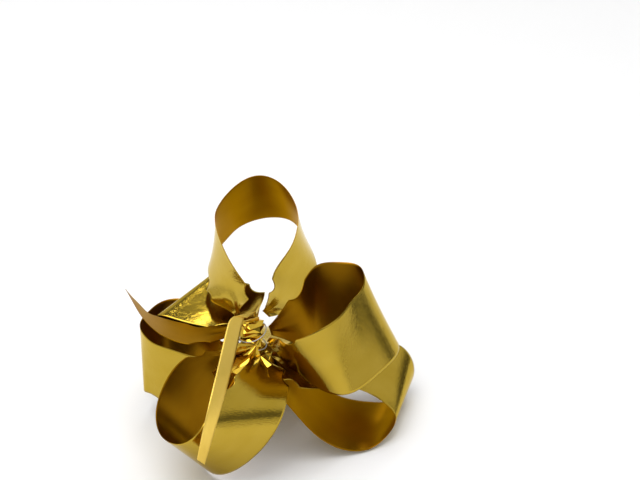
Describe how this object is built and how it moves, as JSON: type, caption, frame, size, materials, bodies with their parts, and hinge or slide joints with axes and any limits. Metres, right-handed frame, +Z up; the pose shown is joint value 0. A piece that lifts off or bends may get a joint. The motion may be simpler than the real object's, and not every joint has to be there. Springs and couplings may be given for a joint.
{
  "type": "gift bow",
  "caption": "Pre-made gift bow of wide metallic gold film, its loops and free tail gathered on a narrow pull ribbon and bound with fine thread.",
  "frame": {"origin": "middle of the bow's footprint, at the height of the surface it stands on", "axes": "+Z up, the front of the bow faces -Y, +X to the right seen from the front"},
  "size_m": [0.1184, 0.1198, 0.0908],
  "materials": {
    "gold_film": "metallised mirror-like gold outside, matte brown-gold inside",
    "pull_ribbon_film": "metallised pale gold, satin",
    "clear_thread": "clear, glossy"
  },
  "bodies": {
    "knot": {"waist_fold_1": "gold_film", "waist_fold_2": "gold_film", "waist_fold_3": "gold_film", "waist_fold_4": "gold_film", "waist_fold_5": "gold_film", "waist_fold_6": "gold_film", "waist_fold_7": "gold_film", "waist_fold_8": "gold_film", "pull_ribbon_core": "pull_ribbon_film", "tie_thread_lower": "clear_thread", "tie_thread_upper": "clear_thread"},
    "loop_top": {"loop_top": "gold_film"},
    "loop_right": {"loop_right": "gold_film"},
    "loop_lower_right": {"loop_lower_right": "gold_film"},
    "loop_front": {"loop_front": "gold_film"},
    "loop_left": {"loop_left": "gold_film"},
    "loop_upper_left": {"loop_upper_left": "gold_film"},
    "loop_back": {"loop_back": "gold_film"},
    "ribbon_tail": {"ribbon_tail": "gold_film"},
    "pull_ribbon": {"pull_ribbon": "pull_ribbon_film"}
  },
  "joints": [
    {"name": "loop_top_flex", "type": "hinge", "parent": "knot", "child": "loop_top", "pos_m": [-0.00795, 0.00008, 0.05273], "axis": [1, 0, 0], "range_deg": [-4, 15], "stiffness_Nm_per_rad": 0.015},
    {"name": "loop_right_flex", "type": "hinge", "parent": "knot", "child": "loop_right", "pos_m": [-0.00115, -0.00642, 0.04623], "axis": [0, -1, 0], "range_deg": [-2, 11], "stiffness_Nm_per_rad": 0.015},
    {"name": "loop_lower_right_flex", "type": "hinge", "parent": "knot", "child": "loop_lower_right", "pos_m": [-0.00145, -0.00942, 0.03823], "axis": [0, -1, 0], "range_deg": [-4, 3], "stiffness_Nm_per_rad": 0.015},
    {"name": "loop_front_flex", "type": "hinge", "parent": "knot", "child": "loop_front", "pos_m": [-0.00795, -0.01392, 0.04123], "axis": [-1, 0, 0], "range_deg": [-3, 10], "stiffness_Nm_per_rad": 0.015},
    {"name": "loop_left_flex", "type": "hinge", "parent": "knot", "child": "loop_left", "pos_m": [-0.01455, -0.00592, 0.04023], "axis": [0, 1, 0], "range_deg": [-2, 3], "stiffness_Nm_per_rad": 0.015},
    {"name": "loop_upper_left_flex", "type": "hinge", "parent": "knot", "child": "loop_upper_left", "pos_m": [-0.00745, 0.00318, 0.04783], "axis": [0.4592, 0.8884, 0], "range_deg": [-2, 3], "stiffness_Nm_per_rad": 0.015},
    {"name": "loop_back_flex", "type": "hinge", "parent": "knot", "child": "loop_back", "pos_m": [-0.00495, 0.00058, 0.03653], "axis": [0.9661, -0.258, 0], "range_deg": [-15, 7], "stiffness_Nm_per_rad": 0.015},
    {"name": "ribbon_tail_flex", "type": "hinge", "parent": "knot", "child": "ribbon_tail", "pos_m": [-0.01495, -0.00692, 0.05003], "axis": [0, 1, 0], "range_deg": [-7, 20], "stiffness_Nm_per_rad": 0.004},
    {"name": "pull_ribbon_flex", "type": "hinge", "parent": "knot", "child": "pull_ribbon", "pos_m": [-0.00795, -0.00642, 0.05643], "axis": [-0.8821, -0.4711, 0], "range_deg": [-6, 25], "stiffness_Nm_per_rad": 0.002}
  ]
}
